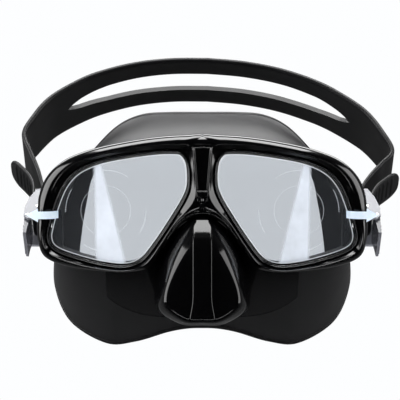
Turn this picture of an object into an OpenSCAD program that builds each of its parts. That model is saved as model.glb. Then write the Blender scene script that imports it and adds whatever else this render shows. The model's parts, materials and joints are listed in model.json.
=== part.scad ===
// Twin-lens low-volume freediving mask with a silicone skirt, swivelling buckles and a split strap.
// Millimetres. +Z is up, the lenses look along -Y, and +X is the wearer's left.
// The origin is the middle of the face seal: between the eyes, on the forehead line of the skirt.

/* [Frame] */
// Width of the front frame
frame_w = 160; // [156:1:166]
// Height of the frame's rounded front above the lens mid-plane
rim_front = 6; // [5:0.5:7]
// Depth of the frame behind the lens mid-plane
rim_back = 6; // [5.5:0.5:7]
// Angle by which each lens turns back towards the temple
wrap = 8; // [5:1:9]
// Angle by which the lower edge of each lens leans towards the face
tilt = 5; // [3:1:7]

/* [Lenses] */
// Thickness of the tempered glass
lens_t = 3.2; // [2.8:0.1:3.6]
// Width of glass edge hidden under the retainer ring
lens_edge = 1.5; // [1.2:0.1:1.6]
// Thickness of the protective film
film_t = 0.3; // [0.2:0.1:0.4]

/* [Skirt] */
// Thickness of the silicone wall
skirt_wall = 2.4; // [2:0.1:2.8]
// Width of the sealing lip at the temples
lip_w = 15; // [12:1:17]

/* [Strap] */
// Angle of the strap loop above the horizontal at rest
strap_angle = 52; // [40:1:56]
// Width of the strap at the back of the head
band_w = 33.4; // [30:0.2:38]
// Width of the opening between the two bands
slit_w = 12.6; // [9:0.2:14]
// How far the loop leans towards the wearer's left
strap_lean = 2.8; // [-5:0.2:5]
// How much lower the loop hangs on the wearer's left than in the middle
strap_droop = 4.4; // [-5:0.2:5]
// Width of the strap where it runs through a buckle
strap_end_w = 19.6; // [18:0.2:19.8]
// Thickness of the strap in the buckles
strap_t = 1.6; // [1.4:0.1:1.8]
// Thickness of the strap at the back
band_t = 2.8; // [2.2:0.2:3.2]

/* [Buckles] */
// Radius of the strap roller
roller_r = 1.6; // [1.4:0.1:1.8]
// Radius of the swivel pin's shank
swivel_r = 1.5; // [1.3:0.1:1.7]
// Outside width of a buckle, across the strap
buckle_w = 23.6; // [23:0.2:25]

/* [Hidden] */
$fn = 48;

// Places
side_k = frame_w / 160;
side_x = frame_w / 2;
eye_x = 40 * side_k;
eye_y = -52;
pivot = [0, -26, -14];

// Window of the left lens as seen from the front, from the top inner corner round to the nose side.
window = [
    [9.3, 25.4], [13, 26.3], [22, 26], [36, 24.2], [49, 21.6], [59, 17.2], [65.3, 10.6], [69.5, 1.5],
    [72.4, -8], [73.5, -14.5], [70.5, -19.2], [60, -23.2], [47, -26.3], [36.5, -27], [29, -24],
    [22, -15.5], [14.5, -4.5], [8.4, 5.5], [6.4, 12], [6.8, 21]
];
// Outer edge of the frame at the same stations. The nose side runs past the middle, so the halves overlap.
frame_edge = [
    [-2.6, 35.2], [8, 35], [22, 34], [37, 31.8], [52, 28.6], [65.5, 23.6], [74.3, 16.2], [78.8, 7],
    [80, -4], [79.8, -15], [76.3, -23.8], [64, -28.6], [48, -30.6], [35, -30.9], [24.5, -28],
    [17.6, -18], [10.6, -8.2], [-2.2, -1.3], [-2.8, 10], [-2.8, 24]
];
// Rounded section of the rim: share of the way from the outer edge to the lens seat, and height.
rim_section = [
    [0, -1], [0, 0.25], [0.05, 0.55], [0.16, 0.82], [0.32, 0.97], [0.5, 1], [0.7, 0.93],
    [0.88, 0.75], [1, 0.55], [1, -1]
];
seat_gap = 0.3;
rim_steps = 4;

// Rails of the skirt, from the forehead round to the upper lip: front edge, then sealing edge.
skirt_rails = [
    [[0, 31], [0, 48]], [[16, 31], [17, 48]], [[33, 29], [30.5, 47]], [[48, 25], [42.5, 41.8]],
    [[59, 20], [54, 31]], [[67, 13], [67, 15]], [[71, 2], [74, -3]], [[71.5, -10], [75.8, -22]],
    [[70, -19], [75.8, -41]], [[61, -25.5], [67.5, -58.6]], [[47, -27.5], [49, -69]],
    [[35, -27.5], [34, -67.8]], [[24, -23], [18, -62.8]], [[12, -10], [8, -60.8]], [[0, -3.5], [0, -60.4]]
];
// Edge of the hole that the face closes.
face_hole = [
    [0, 33.5], [18, 34.5], [34, 33.5], [47, 28], [56, 16], [59.5, 2], [62, -13], [63, -28],
    [59, -42], [48, -50.5], [34, -52], [18, -49], [8, -47.5], [0, -47.5]
];
// Nose pocket in slices from the face to the tip: depth, then the half outline of the slice.
nose_slices = [
    [-6, [[0, -14], [12, -22], [21, -34], [23.5, -43], [20, -53], [9, -58], [0, -58.5]]],
    [-30, [[0, -6], [12, -13.5], [20, -27], [23.2, -39], [21, -50], [9, -56.5], [0, -57]]],
    [-46, [[0, -3.6], [11, -10.6], [18.8, -24], [23.2, -38.5], [22, -49], [10, -55.8], [0, -56.3]]],
    [-60, [[0, -3.6], [9.5, -10.8], [17.6, -24], [22.3, -38.5], [21.4, -48.6], [10, -55.4], [0, -56]]],
    [-67, [[0, -9], [8.6, -15], [16, -26.5], [20.4, -38.8], [19.5, -47.7], [9.5, -54.4], [0, -55]]],
    [-72, [[0, -17], [7, -22], [13.2, -31], [16.6, -39.6], [15.6, -46.6], [8, -52.3], [0, -53]]]
];

// Buckle, measured along the strap from the swivel pin
bracket_x = side_x - 6.4;
bracket_t = 2.4;
washer_t = 0.3;
base_x = bracket_x + bracket_t + washer_t + 0.05;
base_t = 1.4;
cheek_t = 1.6;
roller_u = 10;
turn_r = roller_r + 0.15 + strap_t / 2;
roller_x = base_x + base_t + 0.2 + strap_t / 2 + turn_r;
buckle_end = 21;
lever_u = 4.6;
lever_x = roller_x + turn_r + strap_t / 2 + 1.35;
lever_pin_r = 0.75;
roller_pin_r = 0.8;
lever_w = buckle_w - 2 * cheek_t - 0.8;

function cr(a, b, c, d, t) =
    0.5 * (2 * b + (c - a) * t + (2 * a - 5 * b + 4 * c - d) * t * t + (3 * b - a - 3 * c + d) * t * t * t);
// Closed smooth curve through the points, with n steps between neighbours.
function smooth(p, n) = let (k = len(p)) [
    for (i = [0 : k - 1], j = [0 : n - 1])
        cr(p[(i + k - 1) % k], p[i], p[(i + 1) % k], p[(i + 2) % k], j / n)
];
// Open smooth curve through the points.
function smooth_open(p, n) = let (k = len(p)) concat([
    for (i = [0 : k - 2], j = [0 : n - 1])
        cr(p[max(i - 1, 0)], p[i], p[i + 1], p[min(i + 2, k - 1)], j / n)
], [p[k - 1]]);
function unit(v) = v / norm(v);
function left_of(v) = [-v[1], v[0]];
// A clockwise loop moved outwards by d.
function grow(loop, d) = let (k = len(loop)) [
    for (i = [0 : k - 1]) loop[i] + d * left_of(unit(loop[(i + 1) % k] - loop[(i + k - 1) % k]))
];
function widen(loop) = [for (p = loop) [p[0] * side_k, p[1]]];
// Half an outline from the top middle to the bottom middle, closed by its mirror image.
function both_halves(half) = concat(half, [for (i = [len(half) - 2 : -1 : 1]) [-half[i][0], half[i][1]]]);
// A point of the lens plane's frame, placed on the wearer's left.
function on_eye(x, y, z) = let (
    a = x - eye_x,
    b = -y * sin(tilt) - z * cos(tilt)
) [
    eye_x + a * cos(wrap) - b * sin(wrap),
    eye_y + a * sin(wrap) + b * cos(wrap),
    y * cos(tilt) - z * sin(tilt)
];

window_loop = smooth(widen(window), rim_steps);
edge_loop = smooth(widen(frame_edge), rim_steps);
lens_loop = grow(window_loop, lens_edge);
seat_loop = grow(window_loop, lens_edge + seat_gap);

module on_side(side) {
    if (side > 0) children();
    else mirror([1, 0, 0]) children();
}

module eye_place(side) {
    on_side(side) translate([eye_x, eye_y, 0]) rotate([0, 0, wrap]) rotate([90 + tilt, 0, 0])
        translate([-eye_x, 0, 0]) children();
}

// Buckle frame: x outwards, y along the strap from the swivel pin, z across the strap.
module buckle_place(side) {
    on_side(side) translate(pivot) rotate([strap_angle, 0, 0]) children();
}

// Closed band of sections carried round two matching loops.
module ring(outer, inner, section, up, down) {
    k = len(outer);
    m = len(section);
    points = [
        for (i = [0 : k - 1], s = section)
            let (p = outer[i] + s[0] * (inner[i] - outer[i])) [p[0], p[1], s[1] > 0 ? s[1] * up : s[1] * down]
    ];
    faces = [
        for (i = [0 : k - 1], j = [0 : m - 1], h = [0, 1])
            let (n = (i + 1) % k, q = (j + 1) % m, a = i * m + j, b = i * m + q, c = n * m + j, d = n * m + q)
                h == 0 ? [a, c, b] : [b, c, d]
    ];
    polyhedron(points, faces, convexity = 6);
}

// Solid skinned over clockwise loops with the same number of points, from the face forwards.
module loft(loops) {
    r = len(loops);
    k = len(loops[0]);
    mid = function (l) [for (c = [0 : 2]) ([for (p = l) p[c]] * [for (p = l) 1]) / len(l)];
    points = concat([for (l = loops) each l], [mid(loops[0]), mid(loops[r - 1])]);
    walls = [
        for (i = [0 : r - 2], j = [0 : k - 1], h = [0, 1])
            let (a = i * k + j, b = i * k + (j + 1) % k, c = a + k, d = b + k)
                h == 0 ? [a, b, c] : [b, d, c]
    ];
    caps = [
        for (j = [0 : k - 1], h = [0, 1])
            h == 0 ? [r * k, (j + 1) % k, j] : [r * k + 1, (r - 1) * k + j, (r - 1) * k + (j + 1) % k]
    ];
    polyhedron(points, concat(walls, caps), convexity = 8);
}

// ---------------------------------------------------------------- frame
module rim_half() {
    eye_place(1) ring(edge_loop, seat_loop, rim_section, rim_front, rim_back);
}

// Rounded lip along the arch over the nose.
module arch_lip() {
    arch = smooth_open([[0.5, -3.1], [6, -5], [11.4, -9.6], [16.6, -17.5]], 3);
    for (i = [0 : len(arch) - 2]) hull() for (p = [arch[i], arch[i + 1]])
        eye_place(1) translate([p[0] + 0.9, p[1] + 1.1, rim_front * 0.72]) sphere(r = 1.9, $fn = 8);
}

module bracket_pocket() {
    translate([side_x - 4.7, -47.2, pivot[2] - 3.6]) cube([3.4, 10, 7.2]);
}

module frame() {
    color("#141416") difference() {
        union() {
            for (s = [1, -1]) on_side(s) {
                rim_half();
                arch_lip();
            }
        }
        for (s = [1, -1]) on_side(s) bracket_pocket();
        trim_seat(0.1);
    }
}

// The trim sits in this recess in the front of the bridge.
module trim_seat(gap) {
    translate([0, -60.8, 12]) hull() for (z = [-9, 17], x = [-1, 1])
        translate([x * (z > 0 ? 4.6 : 2.4), 0, z]) rotate([90, 0, 0]) cylinder(r = 1 + gap, h = 12, $fn = 20);
}

module bridge_trim() {
    color("#1b1b1e") union() {
        intersection() {
            trim_seat(0);
            translate([-10, -65.6, -10]) cube([20, 4.7 + 0.1, 60]);
        }
        for (s = [-1, 1]) hull() {
            translate([s * 4.2, -65.4, 27.5]) sphere(r = 0.9, $fn = 16);
            translate([s * 2.4, -65.4, 9.5]) sphere(r = 0.9, $fn = 16);
        }
        translate([-4.2, -66.1, 5.4]) cube([8.4, 1, 2.2]);
    }
}

// ---------------------------------------------------------------- lenses
module retainer_ring() {
    for (step = [[0.4, lens_t / 2 + 0.02, 1.4], [1, lens_t / 2 + 1.4, 1.2]])
        translate([0, 0, step[1]]) linear_extrude(step[2]) difference() {
            polygon(grow(window_loop, lens_edge + 0.05));
            polygon(grow(window_loop, step[0]));
        }
}

module lens() {
    translate([0, 0, -lens_t / 2]) linear_extrude(lens_t) polygon(lens_loop);
}

module lens_film() {
    translate([0, 0, lens_t / 2]) linear_extrude(film_t) polygon(grow(window_loop, -0.4));
}

tab_z = -3;
tab_half = 1.8;
tab_root = side_x - 10.6;
tab_head = side_x - 1.6;
// Side view of the pull tab, over the rim: distance from the middle and height above the lens mid-plane.
module pull_tab() {
    tab_low = lens_t / 2 + film_t + 0.12;
    over = smooth_open([
        [66, tab_low], [67, tab_low], [68.4, tab_low + 0.1], [70, tab_low + 2], [72.2, rim_front - 0.7],
        [75.5, rim_front + 0.5], [80, rim_front + 0.3], [84.6, rim_front - 0.8]
    ], 4);
    lower = [for (p = over) [p[0] * side_k, p[1]]];
    upper = [for (i = [len(over) - 1 : -1 : 0]) [over[i][0] * side_k, over[i][1] + film_t]];
    intersection() {
        translate([0, tab_z + 8, 0]) rotate([90, 0, 0]) linear_extrude(16) polygon(concat(lower, upper));
        translate([0, tab_z, 0]) linear_extrude(rim_front + 4)
            polygon([
                [tab_root, -tab_half], [tab_head, -tab_half], [tab_head, -tab_half * 1.8],
                [side_x + 4.6, 0], [tab_head, tab_half * 1.8], [tab_head, tab_half], [tab_root, tab_half]
            ]);
    }
}

// ---------------------------------------------------------------- skirt
rail_steps = 3;
skirt_depths = [1, 0.8, 0.6, 0.35, 0.15, 0];
function seal_y(x, z) = 0.0034 * x * x - (z < -40 ? 0.25 * (-40 - z) * max(0, 1 - x / 40) : 0);
// One loop of the skirt's outside: t runs from the frame, 0, to the sealing edge, 1.
function skirt_loop(t, inset) =
    let (
        ease = pow(t, 0.85),
        half = [for (r = skirt_rails) let (p = r[0] + (r[1] - r[0]) * ease) [p[0] * side_k, p[1]]],
        front = smooth(both_halves([for (r = skirt_rails) [r[0][0] * side_k, r[0][1]]]), rail_steps),
        back = smooth(both_halves([for (r = skirt_rails) [r[1][0] * side_k, r[1][1]]]), rail_steps),
        flat = grow(smooth(both_halves(half), rail_steps), -inset)
    ) [
        for (i = [0 : len(flat) - 1])
            let (
                f = front[i],
                y0 = on_eye(abs(f[0]), f[1], -rim_back - 0.15)[1],
                y1 = seal_y(abs(back[i][0]), back[i][1])
            ) [flat[i][0], y0 + (y1 - y0) * t, flat[i][1]]
    ];
function shift_y(loop, d) = [for (p = loop) [p[0], p[1] + d, p[2]]];

module skirt_outside() {
    loft([for (t = skirt_depths) skirt_loop(t, 0)]);
}

module skirt_cavity() {
    loft([
        for (t = skirt_depths)
            shift_y(skirt_loop(t, skirt_wall), skirt_wall * (1 - 2 * t))
    ]);
}

// Cutter for the hole in the sealing face. It follows the curve of the face.
module face_opening() {
    half = [for (p = face_hole) [p[0] * side_k + (15 - lip_w) * min(p[0] / 60, 1), p[1]]];
    hole = smooth(both_halves(half), 3);
    loft([for (d = [8, -5]) [for (p = hole) [p[0], seal_y(abs(p[0]), p[1]) + d, p[1]]]]);
}

module nose_solid(inset, back) {
    loft([
        for (s = nose_slices)
            let (
                flat = grow(smooth(both_halves(s[1]), 3), -inset),
                y = s[0] + inset * max(0, -50 - s[0]) / 25 + (s[0] > -10 ? back : 0)
            ) [for (p = flat) [p[0] * side_k, y, p[1]]]
    ]);
}

// Neck that runs into the frame and stops behind the glass, and the flange behind the frame that it stands on.
module lens_neck() {
    translate([0, 0, -rim_back - 1.6]) linear_extrude(rim_back + 1.6 - lens_t / 2 - 0.05)
        polygon([for (p = grow(window_loop, lens_edge + 0.1)) [min(p[0], 73.1 * side_k), p[1]]]);
}

// Hole behind one lens. At the temple it stops short of the window, where the side wall comes forward.
module lens_hole() {
    hole = grow(window_loop, -0.6);
    translate([0, 0, -rim_back]) linear_extrude(rim_back) polygon(hole);
    translate([0, 0, -rim_back - 8]) linear_extrude(rim_back + 4)
        polygon([for (p = hole) [min(p[0], 69.2 * side_k), p[1]]]);
}

// Rolled bead along the sealing edge.
module seal_bead() {
    edge = skirt_loop(1, 0.9);
    k = len(edge);
    for (i = [0 : 2 : k - 1]) hull() for (p = [edge[i], edge[(i + 2) % k]])
        translate(p) sphere(r = 1.5, $fn = 6);
}

// Flat ridge down the front of the nose pocket.
module nose_ridge() {
    ridge = smooth_open([
        [-64.2, -6.5], [-69.7, -12.9], [-72.3, -18.5], [-72.5, -30], [-72.5, -44], [-71.9, -51.5]
    ], 2);
    for (i = [0 : len(ridge) - 2]) hull() for (p = [ridge[i], ridge[i + 1]], s = [-1, 1])
        translate([s * 4.6, p[0], p[1]]) sphere(r = 1.1, $fn = 8);
}

module skirt() {
    color("#26262a") difference() {
        union() {
            difference() {
                union() {
                    skirt_outside();
                    nose_solid(0, 0);
                    nose_ridge();
                }
                for (s = [1, -1]) eye_place(s) translate([0, 0, -rim_back - 0.1])
                    linear_extrude(40) polygon(grow(edge_loop, 0.35));
            }
            for (s = [1, -1]) eye_place(s) lens_neck();
            seal_bead();
        }
        skirt_cavity();
        nose_solid(skirt_wall, -1.6);
        face_opening();
        for (s = [1, -1]) eye_place(s) lens_hole();
    }
}

// ---------------------------------------------------------------- buckles
module rod(r, from, to, $fn = 48) {
    translate([0, 0, from]) cylinder(r = r, h = to - from);
}

module along_x(x, y, z) {
    translate([x, y, z]) rotate([0, 90, 0]) children();
}

module side_bracket() {
    difference() {
        union() {
            translate([bracket_x, -39.1, pivot[2] - 4.2]) cube([bracket_t, 13.1, 8.4]);
            translate([bracket_x, -39.1, pivot[2] - 3.4]) cube([side_x - 1.5 - bracket_x, 0.8, 6.8]);
            along_x(bracket_x, pivot[1], pivot[2]) cylinder(r = 4.4, h = bracket_t);
            translate([side_x - 4.6, -46.5, pivot[2] - 3.4]) cube([3.1, 8.2, 6.8]);
        }
        along_x(bracket_x - 1, pivot[1], pivot[2]) cylinder(r = swivel_r, h = 10);
    }
}

module swivel_washer() {
    along_x(bracket_x + bracket_t, pivot[1], pivot[2]) difference() {
        cylinder(r = 4, h = washer_t);
        translate([0, 0, -1]) cylinder(r = swivel_r, h = 3);
    }
}

module swivel_pin() {
    head = base_x + base_t + 0.05;
    along_x(bracket_x - 0.2, pivot[1], pivot[2]) cylinder(r = swivel_r, h = head - bracket_x + 0.3);
    along_x(head, pivot[1], pivot[2]) cylinder(r1 = 2.9, r2 = 2.4, h = 1);
}

// One side wall of a buckle, drawn from the side.
module cheek() {
    polygon([
        [base_x, 2.6], [base_x, buckle_end], [roller_x + 0.8, buckle_end - 0.6], [lever_x - 0.6, 15],
        [lever_x + 1.6, 8.4], [lever_x + 1.7, 4], [lever_x - 0.4, 2.2], [base_x + base_t, 2.2]
    ]);
}

module buckle_body() {
    inside = buckle_w / 2 - cheek_t;
    difference() {
        union() {
            translate([base_x, 3, -buckle_w / 2]) cube([base_t, buckle_end - 3, buckle_w]);
            along_x(base_x, 0, 0) cylinder(r = 4.6, h = base_t);
            translate([base_x, 0, -4.6]) cube([base_t, 6, 9.2]);
            for (z = [-buckle_w / 2, inside]) translate([0, 0, z]) linear_extrude(cheek_t) cheek();
        }
        along_x(base_x - 1, 0, 0) cylinder(r = swivel_r + 0.06, h = 8);
        translate([roller_x, roller_u, 0]) rod(roller_pin_r, -20, 20);
        translate([lever_x, lever_u, 0]) rod(lever_pin_r, -20, 20);
        translate([base_x - 1, 13, -5]) cube([8, 4.5, 10]);
    }
}

module roller() {
    translate([roller_x, roller_u, 0]) difference() {
        rod(roller_r, 0.3 - (buckle_w / 2 - cheek_t), buckle_w / 2 - cheek_t - 0.3);
        rod(roller_pin_r + 0.05, -20, 20);
    }
}

module roller_pin() {
    translate([roller_x, roller_u, 0]) rod(roller_pin_r, -buckle_w / 2, buckle_w / 2);
}

module lever_pin() {
    translate([lever_x, lever_u, 0]) rod(lever_pin_r, -buckle_w / 2, buckle_w / 2);
}

// The thumb tab stands forward of the pin and the pawl reaches back over the roller.
module release_lever() {
    tip_x = roller_x + turn_r + strap_t / 2 + 0.2;
    difference() {
        union() {
            translate([0, 0, -lever_w / 2]) linear_extrude(lever_w) polygon([
                [tip_x, roller_u + 0.6], [tip_x + 0.1, roller_u - 1.4], [lever_x - 1.3, lever_u + 1.6],
                [lever_x - 1.4, lever_u - 1.2], [lever_x - 0.4, -1], [lever_x + 0.2, -5.4],
                [lever_x + 1.5, -5.2], [lever_x + 1.5, 2], [lever_x + 1.5, lever_u + 1.2],
                [tip_x + 1.5, roller_u - 0.6], [tip_x + 0.9, roller_u + 0.8]
            ]);
            for (i = [0 : 2]) translate([lever_x + 1.5, -4.4 + i * 2, 0])
                rod(0.4, -lever_w / 2 + 1, lever_w / 2 - 1, $fn = 24);
        }
        translate([lever_x, lever_u, 0]) rod(lever_pin_r + 0.05, -20, 20);
        translate([lever_x, lever_u, 0]) rod(2, -2.6, 2.6);
    }
}

module lever_spring() {
    difference() {
        translate([lever_x, lever_u, 0]) rod(1.35, -2, 2);
        translate([lever_x, lever_u, 0]) rod(lever_pin_r + 0.02, -20, 20);
    }
}

// ---------------------------------------------------------------- strap
turn = [for (a = [0 : -15 : -180]) [roller_x + turn_r * cos(a), roller_u + turn_r * sin(a)]];
inner_x = roller_x - turn_r;
outer_x = roller_x + turn_r;
// The strap's middle line in the plane of the loop, from a buckle round to the back.
// The loop leans to the wearer's left, as soft straps do: a little past the buckles, then all the way.
function loop_line(side) = smooth_open([
    for (p = [
        [inner_x, 16], [inner_x + 0.7, 23], [inner_x + 4.4, 32], [inner_x + 9.6, 41], [side_x + 13, 50],
        [side_x + 8.5, 61], [side_x + 0.5, 73], [68, 83.5], [56, 90.8], [38, 97.9], [19, 101.8], [0, 103]
    ]) let (free = min(1, max(0, (p[1] - 23) / 27)))
        [p[0] + side * strap_lean * free, p[1] - side * strap_droop * free * p[0] / side_x]
], 4);
// The tails spring out of the buckles, the left one flatter than the right.
function tail_line(side) = smooth_open([
    for (p = side > 0
        ? [[15, 34.5], [11.6, 32], [7.8, 28.8], [3.8, 25], [0.9, 20], [0, 15], [0, roller_u + 0.1]]
        : [[12.6, 43], [9.2, 39.2], [5.5, 35], [2.3, 30.6], [0.5, 25.5], [0, 19], [0, roller_u + 0.1]])
    [outer_x + p[0], p[1]]
], 3);

// A path with thickness, from t0 at its start to t1 at its end.
function thick(path, t0, t1) =
    let (
        k = len(path),
        n = [for (i = [0 : k - 1]) left_of(unit(path[min(i + 1, k - 1)] - path[max(i - 1, 0)]))],
        h = [for (i = [0 : k - 1]) (t0 + (t1 - t0) * min(1, 2 * i / k)) / 2]
    ) concat([for (i = [0 : k - 1]) path[i] + n[i] * h[i]], [for (i = [k - 1 : -1 : 0]) path[i] - n[i] * h[i]]);

module strap_loop_half(side) {
    half = band_w / 2;
    end = strap_end_w / 2;
    tip = 79 - side * strap_droop;
    edge = [[-9, end], [26, end], [48, end + (half - end) * 0.5], [72, half - 0.8], [90, half], [130, half]];
    path = concat(loop_line(side), [[side * strap_lean - 2, 103 + side * strap_droop * 2 / side_x]]);
    intersection() {
        translate([0, 0, -half]) linear_extrude(band_w) polygon(thick(path, strap_t, band_t));
        translate([-side_x / 2, 0, 0]) rotate([90, 0, 90]) linear_extrude(2 * side_x) difference() {
            polygon(concat(edge, [for (i = [len(edge) - 1 : -1 : 0]) [edge[i][0], -edge[i][1]]]));
            polygon([
                [tip, 0], [tip + 4.5, slit_w * 0.28], [tip + 12, slit_w * 0.45], [tip + 19, slit_w / 2],
                [130, slit_w / 2], [130, -slit_w / 2], [tip + 19, -slit_w / 2],
                [tip + 12, -slit_w * 0.45], [tip + 4.5, -slit_w * 0.28]
            ]);
        }
    }
}

module strap_end(side) {
    tail = tail_line(side);
    path = concat(tail, turn, [[inner_x, 13], [inner_x, 16]]);
    translate([0, 0, -strap_end_w / 2]) linear_extrude(strap_end_w) polygon(thick(path, strap_t, strap_t));
    for (i = [2 : 2 : 10]) translate(tail[i] + [strap_t / 2, -0.3])
        rod(0.7, 1.6 - strap_end_w / 2, strap_end_w / 2 - 1.6, $fn = 24);
}

module strap() {
    color("#1e1e20") for (s = [1, -1]) buckle_place(s) {
        strap_loop_half(s);
        strap_end(s);
    }
}

frame();
bridge_trim();
skirt();
strap();
for (s = [1, -1]) {
    side = s > 0 ? "left_" : "right_";
    color("#2c2c30") eye_place(s) retainer_ring();
    color("#c9dde0", 0.4) eye_place(s) lens();
    color("#e8eef2", 0.4) eye_place(s) lens_film();
    color("#dfeaf2") eye_place(s) pull_tab();
    color("#5a5f66") on_side(s) side_bracket();
    color("#b5b8bd") on_side(s) swivel_washer();
    color("#b5b8bd") on_side(s) swivel_pin();
    color("#6b7077") buckle_place(s) buckle_body();
    color("#c0c2c6") buckle_place(s) roller();
    color("#a0a3a8") buckle_place(s) roller_pin();
    color("#2a2c30") buckle_place(s) release_lever();
    color("#a0a3a8") buckle_place(s) lever_pin();
    color("#c8cacd") buckle_place(s) lever_spring();
}
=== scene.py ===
# Twin-lens diving mask: the visible model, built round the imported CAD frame. Metres, +Z up, lenses look along -Y.
import json
import math

import bmesh
import bpy
import numpy as np
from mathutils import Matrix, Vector


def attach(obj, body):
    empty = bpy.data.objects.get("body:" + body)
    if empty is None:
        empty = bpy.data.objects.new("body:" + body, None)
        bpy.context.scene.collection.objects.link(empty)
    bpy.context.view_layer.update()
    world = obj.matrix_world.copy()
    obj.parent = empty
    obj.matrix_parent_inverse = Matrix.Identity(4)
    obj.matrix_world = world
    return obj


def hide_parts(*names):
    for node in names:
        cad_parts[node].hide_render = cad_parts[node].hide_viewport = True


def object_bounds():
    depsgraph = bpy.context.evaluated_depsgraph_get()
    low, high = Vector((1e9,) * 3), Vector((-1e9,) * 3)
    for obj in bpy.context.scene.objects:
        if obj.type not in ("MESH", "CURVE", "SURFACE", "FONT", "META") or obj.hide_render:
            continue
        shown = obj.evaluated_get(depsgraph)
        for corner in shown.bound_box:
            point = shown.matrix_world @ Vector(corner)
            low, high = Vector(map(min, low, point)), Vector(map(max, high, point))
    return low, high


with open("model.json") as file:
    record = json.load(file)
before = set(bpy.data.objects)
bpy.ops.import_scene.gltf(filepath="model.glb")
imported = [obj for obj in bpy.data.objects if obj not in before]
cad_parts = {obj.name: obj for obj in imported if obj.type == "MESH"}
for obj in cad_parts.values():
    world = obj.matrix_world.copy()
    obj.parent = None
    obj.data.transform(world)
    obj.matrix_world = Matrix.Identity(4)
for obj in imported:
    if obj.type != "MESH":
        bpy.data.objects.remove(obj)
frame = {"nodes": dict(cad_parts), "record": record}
cad_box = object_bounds()
mm = 0.001

# ------------------------------------------------------------------------------------------------
# Camera, light and floor
# A long lens square on to the glass. The mask stands against white from every side, but what it reflects is
# bright behind it and dim in front, so gloss black stays black and only its edges catch the softboxes.
scene = bpy.context.scene
glass_y = -55 * mm
view_distance = 900 * mm
view_width = 191.6 * mm
camera_side = -1.1 * mm
camera_height = 3.8 * mm
sensor_width = 36


def linear(code):
    """sRGB hex to linear RGBA: each channel through the sRGB transfer curve."""
    c = np.array([int(code[i : i + 2], 16) for i in (1, 3, 5)]) / 255
    c = np.where(c <= 0.04045, c / 12.92, ((c + 0.055) / 1.055) ** 2.4)
    return (*c.tolist(), 1.0)


def add(tree, kind, values=None, **settings):
    """Adds a node, sets its properties, and fills its inputs with a value or a link.

    A link is given as (node, output name), or as the node itself for its first output."""
    node = tree.nodes.new(kind)
    for key, value in settings.items():
        setattr(node, key, value)
    for key, value in (values or {}).items():
        named = isinstance(value, tuple) and isinstance(value[0], bpy.types.Node)
        source, output = value if named else (value, 0)
        if isinstance(source, bpy.types.Node):
            tree.links.new(source.outputs[output], node.inputs[key])
        else:
            node.inputs[key].default_value = value
    return node


def put_camera():
    data = bpy.data.cameras.new("camera")
    data.sensor_width = sensor_width
    data.lens = sensor_width * view_distance / view_width
    camera = bpy.data.objects.new("camera", data)
    camera.location = (camera_side, glass_y - view_distance, camera_height)
    camera.rotation_euler = (math.pi / 2, 0, 0)
    scene.collection.objects.link(camera)
    scene.camera = camera


def put_softbox(name, place, aim, size, power):
    data = bpy.data.lights.new(name, "AREA")
    data.shape = "RECTANGLE"
    data.size, data.size_y = size
    data.energy = power
    light = bpy.data.objects.new(name, data)
    light.location = place
    light.rotation_euler = (Vector(aim) - Vector(place)).to_track_quat("-Z", "Y").to_euler()
    light.visible_camera = False
    scene.collection.objects.link(light)


def put_room():
    world = bpy.data.worlds.new("studio")
    world.use_nodes = True
    tree = world.node_tree
    tree.nodes.clear()
    where = add(tree, "ShaderNodeTexCoord")
    axes = add(tree, "ShaderNodeSeparateXYZ", {"Vector": (where, "Generated")})
    depth = add(tree, "ShaderNodeMapRange", {
        "Value": (axes, "Y"), "From Min": -0.35, "From Max": 0.55, "To Min": 0.035, "To Max": 1.0,
    }, interpolation_type="SMOOTHSTEP")
    path = add(tree, "ShaderNodeLightPath")
    seen = add(tree, "ShaderNodeMath", {
        0: (path, "Is Camera Ray"), 1: (path, "Is Transmission Ray"),
    }, operation="MAXIMUM")
    dim = add(tree, "ShaderNodeMath", {0: (depth, "Result"), 1: 0.16}, operation="MULTIPLY")
    power = add(tree, "ShaderNodeMapRange", {"Value": (seen, "Value"), "To Min": (dim, "Value"), "To Max": 1.0})
    glow = add(tree, "ShaderNodeBackground", {"Color": linear("#fdfeff"), "Strength": (power, "Result")})
    add(tree, "ShaderNodeOutputWorld", {"Surface": (glow, "Background")})
    scene.world = world


def put_floor():
    wide, near, far, drop = 1.6, -1.6, 1.2, 170 * mm
    z = cad_box[0][2] - drop
    mesh = bpy.data.meshes.new("floor")
    mesh.from_pydata([(-wide, near, z), (wide, near, z), (wide, far, z), (-wide, far, z)], [], [(0, 1, 2, 3)])
    paint = bpy.data.materials.new("pale_paper")
    paint.use_nodes = True
    tree = paint.node_tree
    shader = tree.nodes["Principled BSDF"]
    grain = add(tree, "ShaderNodeTexNoise", {"Scale": 900.0, "Detail": 3.0})
    tone = add(tree, "ShaderNodeMapRange", {"Value": (grain, "Fac"), "To Min": 0.93, "To Max": 0.96})
    tree.links.new(tone.outputs["Result"], shader.inputs["Base Color"])
    shader.inputs["Roughness"].default_value = 0.9
    shader.inputs["Specular IOR Level"].default_value = 0.1
    mesh.materials.append(paint)
    floor = bpy.data.objects.new("floor", mesh)
    scene.collection.objects.link(floor)
    floor.visible_glossy = False


put_camera()
put_room()
put_floor()
scene.view_settings.view_transform = "Standard"
for name, place, aim, size, power in (
    ("top_softbox", (0, -0.06, 0.9), (0, -0.02, 0), (1.0, 0.5), 15),
    ("left_softbox", (-0.9, -0.25, 0.2), (0, -0.03, 0), (0.6, 0.9), 8),
    ("right_softbox", (0.9, -0.25, 0.15), (0, -0.03, 0), (0.5, 0.9), 5),
    ("back_softbox", (0, 0.72, 0.6), (0, -0.02, 0.02), (1.3, 0.3), 6),
    ("low_strip", (0, -0.6, -0.5), (0, -0.05, 0), (0.9, 0.04), 0.7),
):
    put_softbox(name, place, aim, size, power)

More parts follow.
